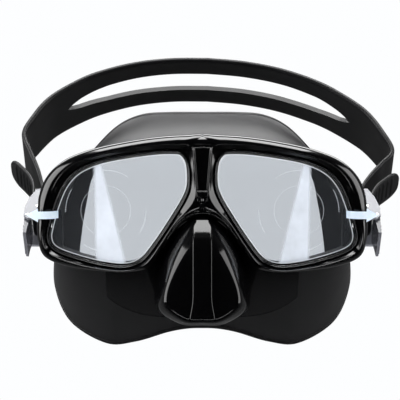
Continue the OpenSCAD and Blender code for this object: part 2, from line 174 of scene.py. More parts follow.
# ------------------------------------------------------------------------------------------------
# Front frame
# One gloss black polycarbonate moulding holds both lenses. Its rim rises from a steep outer wall to a
# crisp ridge and falls again to the lens seat; the two eyes lean back at the temples and meet at the bridge.
wrap = math.radians(8)
tilt = math.radians(5)
eye_x = 40.0
eye_y = -52.0
rim_front = 6.0
rim_back = 6.0
lens_thickness = 3.2
window_outline = np.array([
    [9.3, 25.4], [13, 26.3], [22, 26], [36, 24.2], [49, 21.6], [59, 17.2], [65.3, 10.6], [69.5, 1.5],
    [72.4, -8], [73.5, -14.5], [70.5, -19.2], [60, -23.2], [47, -26.3], [36.5, -27], [29, -24],
    [22, -15.5], [14.5, -4.5], [8.4, 5.5], [6.4, 12], [6.8, 21],
])
frame_outline = np.array([
    [-2.6, 34.3], [8, 34.9], [22, 34], [37, 31.8], [52, 28.6], [65.5, 23.6], [74.3, 16.2], [78.8, 7],
    [80, -4], [79.8, -15], [76.3, -23.8], [64, -28.6], [48, -30.6], [35, -30.9], [24.5, -28],
    [17.6, -18], [10.6, -8.2], [-2.2, -1.3], [-2.8, 10], [-2.8, 24],
])
rim_profile = np.array([
    [0, -1.0], [0, -0.5], [0, 0.05], [0.015, 0.25], [0.05, 0.45], [0.12, 0.62], [0.24, 0.78], [0.38, 0.9],
    [0.5, 0.975], [0.56, 1.0], [0.62, 0.985], [0.7, 0.9], [0.8, 0.79], [0.9, 0.7], [0.97, 0.62],
    [1, 0.52], [1, 0.2], [1, -0.4], [1, -1.0],
])


def smooth_loop(points, steps):
    """Closed Catmull-Rom curve: on each span a cubic blend of the four nearest points, `steps` samples a span."""
    p = np.asarray(points, float)
    before, after, beyond = np.roll(p, 1, 0), np.roll(p, -1, 0), np.roll(p, -2, 0)
    t = (np.arange(steps) / steps)[None, :, None]
    p, before, after, beyond = (a[:, None, :] for a in (p, before, after, beyond))
    curve = 0.5 * (
        2 * p + (after - before) * t + (2 * before - 5 * p + 4 * after - beyond) * t**2
        + (3 * p - before - 3 * after + beyond) * t**3
    )
    return curve.reshape(-1, curve.shape[-1])


def smooth_path(points, steps):
    """Open Catmull-Rom curve: as smooth_loop, with the end points repeated."""
    p = np.asarray(points, float)
    q = np.vstack([p[:1], p, p[-1:]])
    t = (np.arange(steps) / steps)[None, :, None]
    a, b, c, d = (q[i : len(q) - 3 + i][:, None, :] for i in range(4))
    curve = 0.5 * (2 * b + (c - a) * t + (2 * a - 5 * b + 4 * c - d) * t**2 + (3 * b - a - 3 * c + d) * t**3)
    return np.vstack([curve.reshape(-1, p.shape[1]), p[-1:]])


def grow(loop, distance):
    """Moves a clockwise loop outwards along its normals, the tangent turned a quarter left."""
    tangent = np.roll(loop, -1, 0) - np.roll(loop, 1, 0)
    tangent /= np.linalg.norm(tangent, axis=1, keepdims=True)
    return loop + distance * np.stack([-tangent[:, 1], tangent[:, 0]], 1)


def on_eye(x, y, z, side=1):
    """Lens-plane place (mm) to the object's metres: tilt about X, wrap about Z, then mirror for the right eye."""
    x, y, z = np.broadcast_arrays(*(np.asarray(v, float) for v in (x, y, z)))
    a = x - eye_x
    b = -y * math.sin(tilt) - z * math.cos(tilt)
    out = np.stack([
        eye_x + a * math.cos(wrap) - b * math.sin(wrap),
        eye_y + a * math.sin(wrap) + b * math.cos(wrap),
        y * math.cos(tilt) - z * math.sin(tilt),
    ], -1)
    out[..., 0] *= side
    return out * mm


def grid_faces(rows, columns, close_rows=True, close_columns=True, start=0):
    """Quads of a grid of rows by columns, wrapped round in either direction where it closes."""
    i = np.arange(rows if close_rows else rows - 1)[:, None]
    j = np.arange(columns if close_columns else columns - 1)[None, :]
    k, m = (i + 1) % rows, (j + 1) % columns
    quads = np.stack([i * columns + j, k * columns + j, k * columns + m, i * columns + m], -1)
    return quads.reshape(-1, 4) + start


def piece(name, points, faces, crease=35, weld=0.0):
    """A mesh object at the origin with outward faces, smooth except at edges sharper than `crease` degrees."""
    mesh = bpy.data.meshes.new(name)
    mesh.from_pydata(np.asarray(points).reshape(-1, 3).tolist(), [], [list(map(int, f)) for f in faces])
    work = bmesh.new()
    work.from_mesh(mesh)
    if weld:
        bmesh.ops.remove_doubles(work, verts=work.verts, dist=weld)
        bmesh.ops.dissolve_degenerate(work, edges=work.edges, dist=weld / 10)
    bmesh.ops.recalc_face_normals(work, faces=work.faces)
    if work.calc_volume(signed=True) < 0:
        bmesh.ops.reverse_faces(work, faces=work.faces)
    work.to_mesh(mesh)
    work.free()
    mesh.shade_smooth()
    mesh.set_sharp_from_angle(angle=math.radians(crease))
    made = bpy.data.objects.new(name, mesh)
    scene.collection.objects.link(made)
    return made


def joined(name, parts):
    """One object from several closed pieces, which keep their own shells."""
    work = bmesh.new()
    for part in parts:
        work.from_mesh(part.data)
        bpy.data.objects.remove(part)
    mesh = bpy.data.meshes.new(name)
    work.to_mesh(mesh)
    work.free()
    made = bpy.data.objects.new(name, mesh)
    scene.collection.objects.link(made)
    return made


def principled(name, **inputs):
    """A material with its Principled shader's constants set."""
    material = bpy.data.materials.new(name)
    material.use_nodes = True
    shader = material.node_tree.nodes["Principled BSDF"]
    for key, value in inputs.items():
        shader.inputs[key.replace("_", " ")].default_value = value
    return material, material.node_tree, shader


window = smooth_loop(window_outline, 14)
rim_edge = smooth_loop(frame_outline, 14)
seat = grow(window, 1.8)


def frame_eye(side):
    """Rim of one eye: the profile carried round, each point a share of the way from the outer edge to the seat."""
    across, height = rim_profile[:, 0], rim_profile[:, 1]
    flat = rim_edge[:, None, :] + across[None, :, None] * (seat - rim_edge)[:, None, :]
    z = np.where(height > 0, height * rim_front, height * rim_back)
    grid = on_eye(flat[..., 0], flat[..., 1], z[None, :])
    grid[..., 0] = np.maximum(grid[..., 0], 0) * side
    return piece("eye", grid, grid_faces(*grid.shape[:2]), crease=50)


bar_half = 10.0
bar_top = 34.95
bar_width = 6.9
lip_path = [[-1, -1.6], [4.5, -2.6], [10, -6.2], [15, -12.5], [18.5, -18.5]]
lip_across = 1.5
lip_rise = 2.3


def bridge_bar():
    """Top rim carried straight over the nose from eye to eye, with the same profile as the rim beside it."""
    x = np.linspace(-bar_half, bar_half, 41)[:, None]
    across, height = rim_profile[1:, 0], rim_profile[1:, 1]
    z = bar_top - 0.004 * x**2 - across[None, :] * bar_width
    lift = np.where(height > 0, height * rim_front, height * rim_back)
    lift = lift[None, :] - 0.25 * (x / bar_half) ** 2
    grid = on_eye(np.abs(x), z, lift)
    grid[..., 0] = x * mm
    rows, columns = grid.shape[:2]
    faces = grid_faces(rows, columns, close_rows=False).tolist()
    faces += [list(range(columns)), list(range((rows - 1) * columns, rows * columns))]
    return piece("bar", grid, faces, crease=50)


def arch_lip(side):
    """Rounded lip along the arch over the nose: an oval carried along the arch, fullest in the middle of its run."""
    path = smooth_path(lip_path, 10)
    run = np.linspace(0, 1, len(path))[:, None]
    tangent = np.gradient(path, axis=0)
    tangent /= np.linalg.norm(tangent, axis=1, keepdims=True)
    turn = np.linspace(0, 2 * np.pi, 20, endpoint=False)[None, :]
    full = 0.55 + 0.45 * np.sin(np.pi * np.clip(run * 1.05 + 0.12, 0, 1))
    x = path[:, :1] - tangent[:, 1:] * lip_across * full * np.cos(turn)
    z = path[:, 1:] + tangent[:, :1] * lip_across * full * np.cos(turn)
    grid = on_eye(x, z, rim_front * 0.62 + lip_rise * full * np.sin(turn))
    grid[..., 0] = np.maximum(grid[..., 0], 0) * side
    rows, columns = grid.shape[:2]
    faces = grid_faces(rows, columns, close_rows=False).tolist()
    faces += [list(range(columns)), list(range((rows - 1) * columns, rows * columns))]
    return piece("lip", grid, faces, crease=60)


front_frame = joined("front_frame", [frame_eye(1), frame_eye(-1), bridge_bar(), arch_lip(1), arch_lip(-1)])

# Polycarbonate, injection moulded in a polished tool: deep black, wet gloss, a trace of flow ripple.
gloss_black, tree, shader = principled("polycarbonate_gloss_black", Base_Color=linear("#040405"), IOR=1.58)
ripple = add(tree, "ShaderNodeTexNoise", {
    "Vector": (add(tree, "ShaderNodeTexCoord"), "Object"), "Scale": 160.0, "Detail": 2.0,
})
sheen = add(tree, "ShaderNodeMapRange", {"Value": (ripple, "Fac"), "To Min": 0.07, "To Max": 0.15})
dent = add(tree, "ShaderNodeBump", {"Height": (ripple, "Fac"), "Strength": 0.03, "Distance": 0.0006})
tree.links.new(sheen.outputs["Result"], shader.inputs["Roughness"])
tree.links.new(dent.outputs["Normal"], shader.inputs["Normal"])
front_frame.data.materials.append(gloss_black)
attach(front_frame, "mask")
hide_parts("frame")

# ------------------------------------------------------------------------------------------------
# Bridge trim
# A separate gloss insert snaps into the recess over the nose. It is a tapering plate with a thin raised rib
# down each side, a rounded bar across its foot and a facet with a short upright groove below the bar.
trim_foot = 2.6
trim_top = 29.0
trim_back = -60.6


def trim_face(s, z):
    """Front of the plate (mm towards the wearer's front): lean of the bridge plus two ribs, a bar and a groove."""
    half = 2.5 + (z - trim_foot) * 0.104
    x = s * half
    rib_at = 0.84 + 0.1 * np.exp(-(((z - trim_top) / 2.2) ** 2))
    rib = 0.75 * np.exp(-(((np.abs(s) - rib_at) * half / 0.42) ** 2)) * smooth_step(8.6, 9.8, z)
    bar = 0.95 * smooth_step(4.6, 5.3, z) * smooth_step(8.3, 7.5, z)
    plate = -0.35 * smooth_step(0.8, 0.66, np.abs(s)) * smooth_step(8.4, 9.6, z)
    groove = -0.5 * np.exp(-((x / 0.55) ** 2)) * smooth_step(5.0, 4.4, z)
    edge = 1.1 * (1 - np.clip((1 - np.abs(s)) * half / 0.5, 0, 1)) ** 2
    ends = 1.1 * (1 - np.clip(np.minimum(z - trim_foot, trim_top - z) / 0.6, 0, 1)) ** 2
    return x, 64.0 + 0.087 * z + rib + bar + plate + groove - edge - ends


def smooth_step(low, high, value):
    """0 below low and 1 above high (or the reverse), with a cubic between."""
    t = np.clip((np.asarray(value, float) - low) / (high - low), 0, 1)
    return t * t * (3 - 2 * t)


def make_trim():
    s = np.linspace(-1, 1, 61)[None, :]
    z = np.linspace(trim_foot, trim_top, 150)[:, None]
    x, depth = trim_face(s, z)
    front = np.stack([x, -depth, z + 0 * s], -1)
    back = front.copy()
    back[..., 1] = trim_back
    grid = np.concatenate([front, back[:, ::-1]], 1) * mm
    rows, columns = grid.shape[:2]
    faces = grid_faces(rows, columns, close_rows=False).tolist()
    for row in (0, rows - 1):
        half = columns // 2
        ring = np.arange(columns) + row * columns
        faces += [[ring[j], ring[j + 1], ring[columns - 2 - j], ring[columns - 1 - j]] for j in range(half - 1)]
    return piece("bridge_insert", grid, faces, crease=60)


bridge_insert = make_trim()
bridge_insert.data.materials.append(gloss_black)
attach(bridge_insert, "mask")
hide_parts("bridge_trim")

# ------------------------------------------------------------------------------------------------
# Lens retainer rings
# A stepped ring of satin black polycarbonate is pressed in over each lens. Its two steps give the fine double
# line round the glass.
retainer_section = np.array([
    [1.55, 1.62], [1.55, 3.86], [1.5, 4.04], [1.38, 4.16], [1.26, 4.2], [1.16, 4.15], [1.06, 4.02], [1.0, 3.86],
    [0.98, 3.1], [0.9, 3.0], [0.72, 2.98], [0.56, 2.9], [0.45, 2.76], [0.4, 2.6], [0.4, 1.72], [0.48, 1.62],
])
window_normal = grow(window, 1.0) - window


def ring_round_window(name, section, side):
    """Carries a section (outward offset, height) round the window of one eye."""
    flat = window[:, None, :] + section[None, :, :1] * window_normal[:, None, :]
    grid = on_eye(flat[..., 0], flat[..., 1], section[None, :, 1], side)
    return piece(name, grid, grid_faces(*grid.shape[:2]), crease=40)


retainer_black, tree, shader = principled(
    "polycarbonate_satin_black", Base_Color=linear("#0b0b0d"), IOR=1.58, Roughness=0.16
)
grain = add(tree, "ShaderNodeTexNoise", {
    "Vector": (add(tree, "ShaderNodeTexCoord"), "Object"), "Scale": 2200.0, "Detail": 2.0,
})
dent = add(tree, "ShaderNodeBump", {"Height": (grain, "Fac"), "Strength": 0.12, "Distance": 0.00008})
tree.links.new(dent.outputs["Normal"], shader.inputs["Normal"])

# ------------------------------------------------------------------------------------------------
# Lenses
# Each lens is a flat plate of tempered float glass, ground to shape with a polished chamfer all round. It is
# nearly colourless, and faint smears break up its polish.
lens_chamfer = 0.45
glass, tree, shader = principled(
    "tempered_float_glass", Base_Color=linear("#fcfdfd"), IOR=1.52, Roughness=0.0, Transmission_Weight=1.0
)
smear = add(tree, "ShaderNodeTexNoise", {
    "Vector": (add(tree, "ShaderNodeTexCoord"), "Object"), "Scale": 45.0, "Detail": 5.0, "Roughness": 0.6,
})
polish = add(tree, "ShaderNodeMapRange", {
    "Value": (smear, "Fac"), "From Min": 0.5, "From Max": 0.9, "To Min": 0.0, "To Max": 0.04,
})
tree.links.new(polish.outputs["Result"], shader.inputs["Roughness"])


def plate(name, section, side):
    """A solid plate: the section's edge carried round the window, its first and last rows closed flat."""
    flat = window[:, None, :] + section[None, :, :1] * window_normal[:, None, :]
    grid = on_eye(flat[..., 0], flat[..., 1], section[None, :, 1], side)
    rows, columns = grid.shape[:2]
    faces = grid_faces(rows, columns, close_columns=False).tolist()
    ring = np.arange(rows) * columns
    faces += [ring[::-1].tolist(), (ring + columns - 1).tolist()]
    return piece(name, grid, faces, crease=20)


# ------------------------------------------------------------------------------------------------
# Protective film and pull tabs
# A clear polyethylene film still covers each lens. It has a fine printed ring with marks round it, and a leaning
# strip of painted glare, a lamp's reflection drawn into the film as white. The film, its cut edge and the tab glow a
# little by emission, which is painted light. A pale blue arrow tab, stuck to its outer end, bends out over the rim.
film_thickness = 0.3
film_edge = -0.4
film_border = 0.5
print_ring = (46.4, -1.4, 12.0)
# The film's white shader glows by emission: painted light, not a lamp.
film_painted_glow, tree, shader = principled(
    "polyethylene_film_clear_painted_glow", Base_Color=linear("#eef3fa"), Roughness=0.5,
    Emission_Color=linear("#e9f0fb"), Emission_Strength=0.36,
)


def put_film_print_and_glare():
    """Clear sheet that turns to a glowing white shader by a mask, the greatest of three: print, painted glare and a
    faint floor.

    The ring is a thin band of radius, the marks are a wider band cut by the sine and the saw of the angle, and
    the painted glare is a leaning strip that narrows upwards, broken up by a noise. The white shader glows by
    emission, which is painted light. Distances are in metres, on the eye's own X."""
    where = add(tree, "ShaderNodeTexCoord")
    axes = add(tree, "ShaderNodeSeparateXYZ", {"Vector": (where, "Object")})
    cloud = add(tree, "ShaderNodeTexNoise", {"Vector": (where, "Object"), "Scale": 60.0, "Detail": 3.0})
    ring_radius = print_ring[2]
    steps = [
        ("x", "ABSOLUTE", (axes, "X")),
        ("dx", "SUBTRACT", "x", print_ring[0] * mm),
        ("dz", "SUBTRACT", (axes, "Z"), print_ring[1] * mm),
        ("dx2", "MULTIPLY", "dx", "dx"),
        ("radius2", "MULTIPLY_ADD", "dz", "dz", "dx2"),
        ("radius", "SQRT", "radius2"),
        ("angle", "ARCTAN2", "dz", "dx"),
    ]
    for band, low, high, soft in (
        ("line", ring_radius - 0.16, ring_radius + 0.16, 0.12),
        ("marks", ring_radius + 7.1, ring_radius + 7.7, 0.15),
    ):
        steps += [
            (band + "_in", "SUBTRACT", "radius", low * mm),
            (band + "_rise", "MULTIPLY", band + "_in", 1 / (soft * mm)),
            (band + "_out", "SUBTRACT", high * mm, "radius"),
            (band + "_fall", "MULTIPLY", band + "_out", 1 / (soft * mm)),
            (band + "_least", "MINIMUM", band + "_rise", band + "_fall"),
            (band + "_above", "MAXIMUM", band + "_least", 0.0),
            (band, "MINIMUM", band + "_above", 1.0),
        ]
    steps += [
        ("saw_angle", "MULTIPLY", "angle", 22.0),
        ("saw", "FRACT", "saw_angle"),
        ("teeth", "GREATER_THAN", "saw", 0.45),
        ("wave_angle", "MULTIPLY_ADD", "angle", 4.0, 0.5),
        ("wave", "SINE", "wave_angle"),
        ("spans", "GREATER_THAN", "wave", 0.35),
        ("toothed", "MULTIPLY", "marks", "teeth"),
        ("dashes", "MULTIPLY", "toothed", "spans"),
        ("line_ink", "MULTIPLY", "line", 0.4),
        ("dash_ink", "MULTIPLY", "dashes", 0.5),
        ("ink", "MAXIMUM", "line_ink", "dash_ink"),
        # From here: a leaning strip of painted glare, a lamp's reflection drawn into the film as white, patchy by a
        # noise.
        ("middle", "MULTIPLY_ADD", (axes, "Z"), 0.13, 47.5 * mm),
        ("lean", "SUBTRACT", "x", "middle"),
        ("off_middle", "ABSOLUTE", "lean"),
        ("width", "MULTIPLY_ADD", (axes, "Z"), -0.115, 5.0 * mm),
        ("depth", "SUBTRACT", "width", "off_middle"),
        ("fade", "MULTIPLY", "depth", 1 / (1.8 * mm)),
        ("fade_above", "MAXIMUM", "fade", 0.0),
        ("glare_wedge", "MINIMUM", "fade_above", 1.0),
        ("patchy", "MULTIPLY_ADD", cloud, 0.5, 0.28),
        ("haze", "MULTIPLY", "glare_wedge", "patchy"),
        ("print_and_haze", "MAXIMUM", "ink", "haze"),
        ("glowing_share", "MAXIMUM", "print_and_haze", 0.012),
    ]
    made = {}
    for name, operation, *terms in steps:
        inputs = {k: made.get(term, term) for k, term in enumerate(terms)}
        made[name] = add(tree, "ShaderNodeMath", inputs, operation=operation)
    clear = add(tree, "ShaderNodeBsdfTransparent", {"Color": linear("#e4e6e9")})
    glint = add(tree, "ShaderNodeBsdfGlossy", {"Color": linear("#ffffff"), "Roughness": 0.05})
    fresnel = add(tree, "ShaderNodeFresnel", {"IOR": 1.3})
    sheet = add(tree, "ShaderNodeMixShader", {0: fresnel, 1: clear, 2: glint})
    body = add(tree, "ShaderNodeMixShader", {0: made["glowing_share"], 1: sheet, 2: shader})
    tree.links.new(body.outputs["Shader"], tree.nodes["Material Output"].inputs["Surface"])


put_film_print_and_glare()
# The cut edge glows by emission: a painted highlight, the bright line a lamp would draw along the film's edge.
film_edge_highlight, tree, shader = principled(
    "polyethylene_film_edge_painted_highlight", Base_Color=linear("#dfe4ea"), IOR=1.45, Roughness=0.3, Alpha=0.7,
    Emission_Color=linear("#dfe4ea"), Emission_Strength=0.35,
)
# The tab glows by emission over its own pale blue: painted light.
tab_film_glow, tree, shader = principled(
    "polyethylene_film_pale_blue_painted_glow", Base_Color=linear("#d9e6f2"), IOR=1.45, Roughness=0.35,
    Transmission_Weight=0.1, Emission_Color=linear("#cfdfef"), Emission_Strength=0.3,
)
fleck = add(tree, "ShaderNodeTexNoise", {
    "Vector": (add(tree, "ShaderNodeTexCoord"), "Object"), "Scale": 900.0, "Detail": 4.0, "Roughness": 0.7,
})
tint = add(tree, "ShaderNodeMix", {
    "Factor": (fleck, "Fac"), 6: linear("#c3d4e4"), 7: linear("#eef5fb"),
}, data_type="RGBA")
tree.links.new(tint.outputs[2], shader.inputs["Base Color"])
tab_route = [[69.4, 2.04], [69.9, 2.1], [70.2, 3.0], [70.6, 4.2], [72.4, 5.6], [75.5, 6.6], [80, 6.4], [84.6, 5.3]]
tab_height = -3.0
tab_half = 1.8
tab_head = 78.4
tab_tip = 84.6


def pull_tab(name, side):
    """Arrow strip: half width is the shaft's up to the head, then falls in a straight line to the tip."""
    route = smooth_path(tab_route, 8)
    x = np.unique(np.concatenate([route[:, 0], [tab_head - 0.02, tab_head]]))
    z = np.interp(x, route[:, 0], route[:, 1])
    half = np.where(x < tab_head, tab_half, tab_half * 1.8 * (tab_tip - x) / (tab_tip - tab_head) + 0.02)
    lift = np.array([[-1, 0], [-0.33, 0], [0.33, 0], [1, 0], [1, 1], [0.33, 1], [-0.33, 1], [-1, 1]])
    grid = on_eye(
        x[:, None], tab_height + half[:, None] * lift[None, :, 0], z[:, None] + film_thickness * lift[None, :, 1],
        side,
    )
    rows, columns = grid.shape[:2]
    faces = grid_faces(rows, columns, close_rows=False).tolist()
    faces += [list(range(columns)), list(range((rows - 1) * columns, rows * columns))]
    return piece(name, grid, faces, crease=40)


for word, side in (("left", 1), ("right", -1)):
    ring = ring_round_window(f"{word}_retainer", retainer_section, side)
    ring.data.materials.append(retainer_black)
    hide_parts(f"{word}_retainer_ring")
    half_glass = lens_thickness / 2
    lens = plate(f"{word}_glass", np.array([
        [1.5 - lens_chamfer, half_glass], [1.5, half_glass - lens_chamfer], [1.5, lens_chamfer - half_glass],
        [1.5 - lens_chamfer, -half_glass],
    ]), side)
    lens.data.materials.append(glass)
    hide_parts(f"{word}_lens")
    film = plate(f"{word}_film", np.array([
        [film_edge - film_border, half_glass + film_thickness], [film_edge - 0.05, half_glass + film_thickness],
        [film_edge, half_glass + film_thickness - 0.06],
        [film_edge, half_glass + 0.08], [film_edge - 0.05, half_glass + 0.04],
    ]), side)
    film.data.materials.append(film_painted_glow)
    film.data.materials.append(film_edge_highlight)
    film.data.polygons.foreach_set("material_index", [0 if len(f.vertices) > 4 else 1 for f in film.data.polygons])
    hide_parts(f"{word}_lens_film")
    tab = pull_tab(f"{word}_arrow_tab", side)
    tab.data.materials.append(tab_film_glow)
    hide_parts(f"{word}_pull_tab")
    for made in (ring, lens, film, tab):
        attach(made, "mask")

# ------------------------------------------------------------------------------------------------
# Skirt
# One liquid silicone moulding seals on the face: forehead, cheeks and a nose pocket that fingers can pinch.
# The mould is etched to a satin at the forehead and the outer lobes, and polished under the lenses and on the nose.
skirt_wall = 2.4
neck_reach = 73.1
opening_reach = 69.2
clearance = 0.35
skirt_rails = np.array([
    [[0, 31], [0, 48]], [[16, 31], [17, 48]], [[33, 29], [30.5, 47]], [[48, 25], [42.5, 41.8]],
    [[59, 20], [54, 31]], [[67, 13], [67, 15]], [[71, 2], [74, -3]], [[71.5, -10], [75.8, -22]],
    [[70, -19], [75.8, -41]], [[61, -25.5], [67.5, -58.6]], [[47, -27.5], [49, -69]],
    [[35, -27.5], [34, -67.8]], [[24, -23], [18, -62.8]], [[12, -10], [8, -60.8]], [[0, -3.5], [0, -60.4]],
])
face_hole = np.array([
    [0, 33.5], [18, 34.5], [34, 33.5], [47, 28], [56, 16], [59.5, 2], [62, -13], [63, -28],
    [59, -42], [48, -50.5], [34, -52], [18, -49], [8, -47.5], [0, -47.5],
])
nose_slices = [
    (-6, [[0, -14], [12, -22], [21, -34], [23.5, -43], [20, -53], [9, -58], [0, -58.5]]),
    (-30, [[0, -6], [12, -13.5], [20, -27], [23.2, -39], [21, -50], [9, -56.5], [0, -57]]),
    (-46, [[0, -3.6], [11, -10.6], [18.8, -24], [23.2, -38.5], [22, -49], [10, -55.8], [0, -56.3]]),
    (-60, [[0, -3.6], [9.5, -10.8], [17.6, -24], [22.3, -38.5], [21.4, -48.6], [10, -55.4], [0, -56]]),
    (-67, [[0, -9], [8.6, -15], [16, -26.5], [20.4, -38.8], [19.5, -47.7], [9.5, -54.4], [0, -55]]),
    (-72, [[0, -17], [7, -22], [13.2, -31], [16.6, -39.6], [15.6, -46.6], [8, -52.3], [0, -53]]),
]
nose_ridge = [[-64.2, -6.5], [-69.7, -12.9], [-72.5, -18.5], [-72.9, -30], [-72.9, -44], [-72, -52]]


def both_halves(half):
    """Half an outline from top middle to bottom middle, closed by its mirror image."""
    half = np.asarray(half, float)
    return np.vstack([half, half[-2:0:-1] * [-1, 1]])


def seal_depth(x, z):
    """Sealing edge (mm): a parabola round the head, drawn forward over the upper lip."""
    lip = np.where(z < -40, 0.25 * (-40 - z) * np.maximum(0, 1 - np.abs(x) / 40), 0)
    return 0.0034 * x**2 - lip


def skirt_loop(t, inset, steps=9):
    """One loop of the skirt: t runs from the frame, 0, to the sealing edge, 1; depth runs straight between them."""
    front, back = (smooth_loop(both_halves(skirt_rails[:, k]), steps) for k in (0, 1))
    half = skirt_rails[:, 0] + (skirt_rails[:, 1] - skirt_rails[:, 0]) * t**0.85
    flat = grow(smooth_loop(both_halves(half), steps), -inset)
    y0 = on_eye(np.abs(front[:, 0]), front[:, 1], -rim_back - 0.15)[:, 1] / mm
    y1 = seal_depth(back[:, 0], back[:, 1])
    return np.stack([flat[:, 0], y0 + (y1 - y0) * t, flat[:, 1]], 1)


def loft(name, loops, crease=180):
    """Skin over closed loops with the same number of points, each end closed by a fan from its middle."""
    loops = np.asarray(loops)
    rows, columns = loops.shape[:2]
    points = np.vstack([loops.reshape(-1, 3), loops[0].mean(0), loops[-1].mean(0)])
    faces = grid_faces(rows, columns, close_rows=False).tolist()
    j = np.arange(columns)
    k = (j + 1) % columns
    end = (rows - 1) * columns
    first = np.stack([j, k, np.full(columns, rows * columns)], 1)
    last = np.stack([k + end, j + end, np.full(columns, rows * columns + 1)], 1)
    return piece(name, points * mm, faces + first.tolist() + last.tolist(), crease=crease)


def pinched(points):
    """Finger dimples: each flank of the nose pocket is drawn in by a bell-shaped hollow."""
    x, y, z = points.T
    hollow = 2.2 * np.exp(-(((y + 60) / 8.5) ** 2) - (((z + 37) / 9.5) ** 2)) * smooth_step(6, 15, np.abs(x))
    return np.stack([x - np.sign(x) * hollow, y + hollow * 0.4, z], 1)


def nose_loft(inset, back):
    """Slices of the nose pocket, blended by a cubic from slice to slice and drawn together at the tip."""
    slices = []
    for y, half in nose_slices:
        flat = grow(smooth_loop(both_halves(half), 9), -inset)
        depth = y + (inset * (-50 - y) / 25 if y < -50 else 0) + (back if y > -10 else 0)
        slices.append(np.stack([flat[:, 0], np.full(len(flat), depth), flat[:, 1]], 1))
    tip = slices[-1].copy()
    tip = tip.mean(0) + (tip - tip.mean(0)) * 0.55
    tip[:, 1] -= 0.4
    slices = np.array([*slices, tip])
    grid = smooth_path(slices.reshape(len(slices), -1), 7).reshape(-1, slices.shape[1], 3)
    return loft("nose", [pinched(loop) for loop in grid])


def ridge_sweep():
    """Flat ridge down the front of the nose: a rounded bar carried along its profile, wider at the foot."""
    path = smooth_path(nose_ridge, 10)
    run = np.linspace(0, 1, len(path))
    half = 4.6 + 1.4 * smooth_step(0.75, 1.0, run) - 1.2 * smooth_step(0.12, 0.0, run)
    tangent = np.gradient(path, axis=0)
    tangent /= np.linalg.norm(tangent, axis=1, keepdims=True)
    out = np.stack([tangent[:, 1], -tangent[:, 0]], 1)
    turn = np.linspace(0, 2 * np.pi, 40, endpoint=False)
    wide = np.sign(np.cos(turn)) * np.abs(np.cos(turn)) ** 0.35
    thick = np.sign(np.sin(turn)) * np.abs(np.sin(turn)) ** 0.6
    loops = np.stack([
        half[:, None] * wide[None, :] + 0 * run[:, None],
        path[:, :1] + 1.15 * out[:, :1] * thick[None, :],
        path[:, 1:] + 1.15 * out[:, 1:] * thick[None, :],
    ], -1)
    return loft("ridge", loops)


def bead_sweep():
    """Rolled bead: a circle carried round the sealing edge."""
    edge = skirt_loop(1, 0.9)
    out = grow(edge[:, [0, 2]], 1.0) - edge[:, [0, 2]]
    turn = np.linspace(0, 2 * np.pi, 14, endpoint=False)[None, :]
    grid = np.stack([
        edge[:, :1] + 1.5 * out[:, :1] * np.cos(turn), edge[:, 1:2] + 1.5 * np.sin(turn),
        edge[:, 2:] + 1.5 * out[:, 1:] * np.cos(turn),
    ], -1)
    return piece("bead", grid * mm, grid_faces(*grid.shape[:2]), crease=180)


def prism(name, outline, low, high, side):
    """An outline of the lens plane carried between two heights."""
    loops = [on_eye(outline[:, 0], outline[:, 1], h, side) / mm for h in (low, high)]
    return loft(name, loops)


def combine(base, tool, operation):
    change = base.modifiers.new("change", "BOOLEAN")
    change.operation = operation
    change.object = tool
    change.solver = "MANIFOLD"
    bpy.context.view_layer.update()
    mesh = bpy.data.meshes.new_from_object(base.evaluated_get(bpy.context.evaluated_depsgraph_get()))
    base.modifiers.clear()
    base.data = mesh
    bpy.data.objects.remove(tool)


def make_skirt():
    t_rows = np.linspace(0, 1, 26)
    body = loft("mask_skirt", [skirt_loop(t, 0) for t in t_rows])
    combine(body, nose_loft(0, 0), "UNION")
    combine(body, ridge_sweep(), "UNION")
    for side in (1, -1):
        combine(body, prism("clear", grow(rim_edge, clearance), -rim_back - 0.1, 40, side), "DIFFERENCE")
    neck = grow(window, 1.6)
    neck[:, 0] = np.minimum(neck[:, 0], neck_reach)
    for side in (1, -1):
        combine(body, prism("neck", neck, -rim_back - 1.6, -1.65, side), "UNION")
    combine(body, bead_sweep(), "UNION")
    hollow = []
    for t in t_rows:
        loop = skirt_loop(t, skirt_wall)
        loop[:, 1] += skirt_wall * (1 - 2 * t)
        hollow.append(loop)
    combine(body, loft("hollow", hollow), "DIFFERENCE")
    combine(body, nose_loft(skirt_wall, -1.6), "DIFFERENCE")
    hole = smooth_loop(both_halves(face_hole), 9)
    depth = seal_depth(hole[:, 0], hole[:, 1])
    combine(body, loft("hole", [np.stack([hole[:, 0], depth + d, hole[:, 1]], 1) for d in (8, -5)]), "DIFFERENCE")
    opening = grow(window, -0.6)
    clipped = np.stack([np.minimum(opening[:, 0], opening_reach), opening[:, 1]], 1)
    for side in (1, -1):
        combine(body, prism("near", opening, -rim_back, 0, side), "DIFFERENCE")
        combine(body, prism("far", clipped, -rim_back - 8, -2, side), "DIFFERENCE")
    work = bmesh.new()
    work.from_mesh(body.data)
    bmesh.ops.remove_doubles(work, verts=work.verts, dist=0.02 * mm)
    bmesh.ops.dissolve_degenerate(work, edges=work.edges, dist=0.02 * mm)
    work.to_mesh(body.data)
    work.free()
    body.data.materials.clear()
    body.data.shade_smooth()
    body.data.set_sharp_from_angle(angle=math.radians(38))
    return body


skirt = make_skirt()
silicone, tree, shader = principled(
    "liquid_silicone_black", IOR=1.43, Specular_IOR_Level=0.55
)
where = add(tree, "ShaderNodeTexCoord")
axes = add(tree, "ShaderNodeSeparateXYZ", {"Vector": (where, "Object")})
